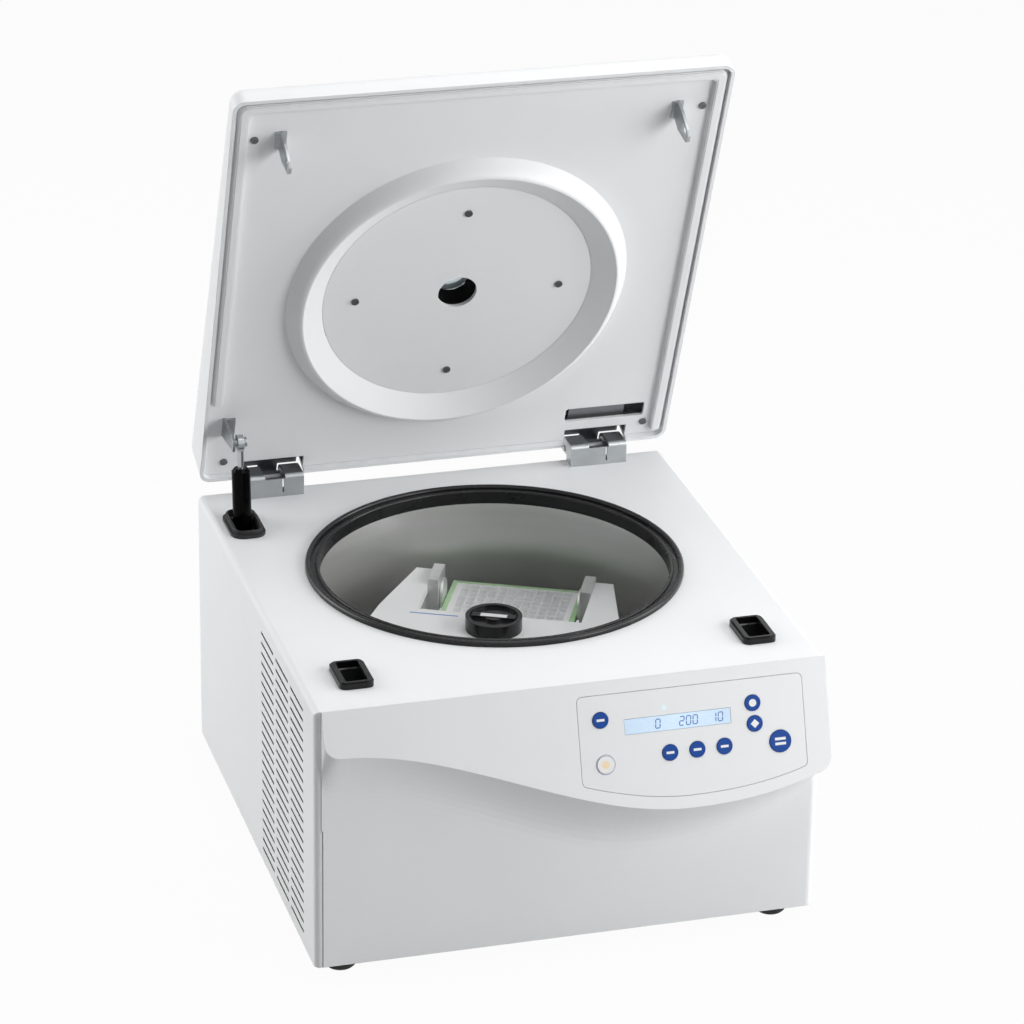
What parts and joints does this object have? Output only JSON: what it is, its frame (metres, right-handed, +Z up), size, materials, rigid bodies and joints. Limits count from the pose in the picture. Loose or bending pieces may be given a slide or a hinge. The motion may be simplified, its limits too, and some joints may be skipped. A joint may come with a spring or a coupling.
{
  "type": "microplate centrifuge",
  "caption": "Benchtop centrifuge with a hinged lid held open by a gas strut, a round chamber and a swing-out rotor carrying deep-well microplates.",
  "frame": {"origin": "on the bench, under the middle of the housing's footprint", "axes": "+X to the user's right, +Y to the rear, +Z up; the control face looks along -Y"},
  "size_m": [0.464, 0.5502, 0.7254],
  "materials": {
    "white_paint": "satin",
    "white_plastic": "satin",
    "lid_white": "satin",
    "zinc_steel": "bright zinc",
    "grey_steel": "matt",
    "stainless": "brushed",
    "black_rubber": "satin",
    "grey_rubber": "matt",
    "black_plastic": "gloss",
    "motor_metal": "painted",
    "copper": "wound wire",
    "rotor_white": "satin",
    "bucket_metal": "brushed",
    "plate_plastic": "translucent",
    "keypad_foil": "satin",
    "display": "lit",
    "board": "solder mask",
    "key_blue": "satin",
    "key_white": "satin",
    "glass": "clear",
    "strut_black": "gloss"
  },
  "bodies": {
    "housing": {"base_plate": "grey_steel", "feet": "grey_rubber", "housing_cover": "white_paint", "front_panel": "white_plastic", "rear_panel": "white_paint", "deck_plate": "zinc_steel", "deck_posts": "zinc_steel", "chamber_bowl": "stainless", "guard_ring": "grey_steel", "lid_gasket": "black_rubber", "motor_housing": "motor_metal", "motor_stator": "copper", "motor_bearings": "zinc_steel", "motor_dampers": "black_rubber", "shaft_seal": "black_rubber", "keypad_plate": "keypad_foil", "display_window": "display", "control_board": "board", "power_supply": "zinc_steel", "power_inlet": "black_plastic", "fan_frame": "black_plastic", "latch_cases": "grey_steel", "latch_bezels": "black_plastic", "hinge_brackets": "zinc_steel", "hinge_pins": "zinc_steel", "strut_boot": "grey_rubber"},
    "lid": {"lid_shell": "lid_white", "lid_panel": "lid_white", "lid_disc": "lid_white", "lid_armour": "grey_steel", "sight_tube": "black_plastic", "sight_glass": "glass", "lid_screws": "zinc_steel", "strikers": "zinc_steel", "hinge_leaves": "grey_steel", "strut_bracket": "zinc_steel"},
    "strut_cylinder": {"strut_clip": "zinc_steel", "strut_tube": "strut_black"},
    "strut_piston": {"strut_rod": "zinc_steel"},
    "rotor": {"drive_shaft": "zinc_steel", "motor_rotor": "motor_metal", "rotor_cross": "rotor_white", "bearing_blocks": "zinc_steel", "rotor_knob": "black_plastic"},
    "bucket_rear": {"rear_bucket": "bucket_metal"},
    "bucket_front": {"front_bucket": "bucket_metal"},
    "plate_rear": {"rear_plate": "plate_plastic"},
    "plate_front": {"front_plate": "plate_plastic"},
    "fan": {"fan_impeller": "black_plastic"},
    "switch": {"mains_switch": "black_plastic"},
    "pawl_left": {"left_pawl": "zinc_steel"},
    "pawl_right": {"right_pawl": "zinc_steel"},
    "button_open": {"open_key": "key_blue"},
    "button_standby": {"standby_key": "key_white"},
    "button_temperature": {"temperature_key": "key_blue"},
    "button_speed": {"speed_key": "key_blue"},
    "button_time": {"time_key": "key_blue"},
    "button_rotor": {"rotor_key": "key_blue"},
    "button_short": {"short_key": "key_blue"},
    "button_start": {"start_key": "key_blue"}
  },
  "joints": [
    {"name": "lid_hinge", "type": "hinge", "parent": "housing", "child": "lid", "pos_m": [0, 0.24, 0.2786], "axis": [-1, 0, 0], "range_deg": [-68.5, 0]},
    {"name": "strut_tilt", "type": "hinge", "parent": "lid", "child": "strut_cylinder", "pos_m": [-0.205, 0.1711, 0.34819], "axis": [-1, 0, 0], "range_deg": [0, 65.01]},
    {"name": "strut_slide", "type": "slide", "parent": "strut_cylinder", "child": "strut_piston", "axis": [0, 0.0819, 0.9966], "range_m": [0, 0.10923]},
    {"name": "rotor_spin", "type": "hinge", "parent": "housing", "child": "rotor", "pos_m": [0, 0.018, 0.188], "axis": [0, 0, 1], "continuous": true},
    {"name": "rear_bucket_swing", "type": "hinge", "parent": "rotor", "child": "bucket_rear", "pos_m": [0.04391, 0.11006, 0.188], "axis": [-0.9026, 0.4305, 0], "range_deg": [-90, 0]},
    {"name": "front_bucket_swing", "type": "hinge", "parent": "rotor", "child": "bucket_front", "pos_m": [-0.04391, -0.07406, 0.188], "axis": [0.9026, -0.4305, 0], "range_deg": [-90, 0]},
    {"name": "rear_plate_lift", "type": "slide", "parent": "bucket_rear", "child": "plate_rear", "axis": [0, 0, 1], "range_m": [0, 0.15]},
    {"name": "front_plate_lift", "type": "slide", "parent": "bucket_front", "child": "plate_front", "axis": [0, 0, 1], "range_m": [0, 0.15]},
    {"name": "fan_spin", "type": "hinge", "parent": "housing", "child": "fan", "pos_m": [0.13, 0.22, 0.138], "axis": [0, 1, 0], "continuous": true},
    {"name": "mains_switch_rock", "type": "hinge", "parent": "housing", "child": "switch", "pos_m": [-0.12, 0.232, 0.06], "axis": [1, 0, 0], "range_deg": [-16, 0]},
    {"name": "left_pawl_turn", "type": "hinge", "parent": "housing", "child": "pawl_left", "pos_m": [-0.1955, -0.177, 0.234], "axis": [0, -1, 0], "range_deg": [-14, 0]},
    {"name": "right_pawl_turn", "type": "hinge", "parent": "housing", "child": "pawl_right", "pos_m": [0.1955, -0.177, 0.234], "axis": [0, 1, 0], "range_deg": [-14, 0]},
    {"name": "open_key_press", "type": "slide", "parent": "housing", "child": "button_open", "axis": [0, 0.9432, -0.3322], "range_m": [0, 0.0008], "stiffness_N_per_m": 400, "springref_m": -0.0004},
    {"name": "standby_key_press", "type": "slide", "parent": "housing", "child": "button_standby", "axis": [0, 0.9432, -0.3322], "range_m": [0, 0.0008], "stiffness_N_per_m": 400, "springref_m": -0.0004},
    {"name": "temperature_key_press", "type": "slide", "parent": "housing", "child": "button_temperature", "axis": [0, 0.9432, -0.3322], "range_m": [0, 0.0008], "stiffness_N_per_m": 400, "springref_m": -0.0004},
    {"name": "speed_key_press", "type": "slide", "parent": "housing", "child": "button_speed", "axis": [0, 0.9432, -0.3322], "range_m": [0, 0.0008], "stiffness_N_per_m": 400, "springref_m": -0.0004},
    {"name": "time_key_press", "type": "slide", "parent": "housing", "child": "button_time", "axis": [0, 0.9432, -0.3322], "range_m": [0, 0.0008], "stiffness_N_per_m": 400, "springref_m": -0.0004},
    {"name": "rotor_key_press", "type": "slide", "parent": "housing", "child": "button_rotor", "axis": [0, 0.9432, -0.3322], "range_m": [0, 0.0008], "stiffness_N_per_m": 400, "springref_m": -0.0004},
    {"name": "short_key_press", "type": "slide", "parent": "housing", "child": "button_short", "axis": [0, 0.9432, -0.3322], "range_m": [0, 0.0008], "stiffness_N_per_m": 400, "springref_m": -0.0004},
    {"name": "start_key_press", "type": "slide", "parent": "housing", "child": "button_start", "axis": [0, 0.9432, -0.3322], "range_m": [0, 0.0008], "stiffness_N_per_m": 400, "springref_m": -0.0004}
  ],
  "couplings": [
    {"joint": "strut_tilt", "follows": "lid_hinge", "ratio": -0.94879},
    {"joint": "strut_slide", "follows": "lid_hinge", "m_per_rad": -0.091325}
  ]
}
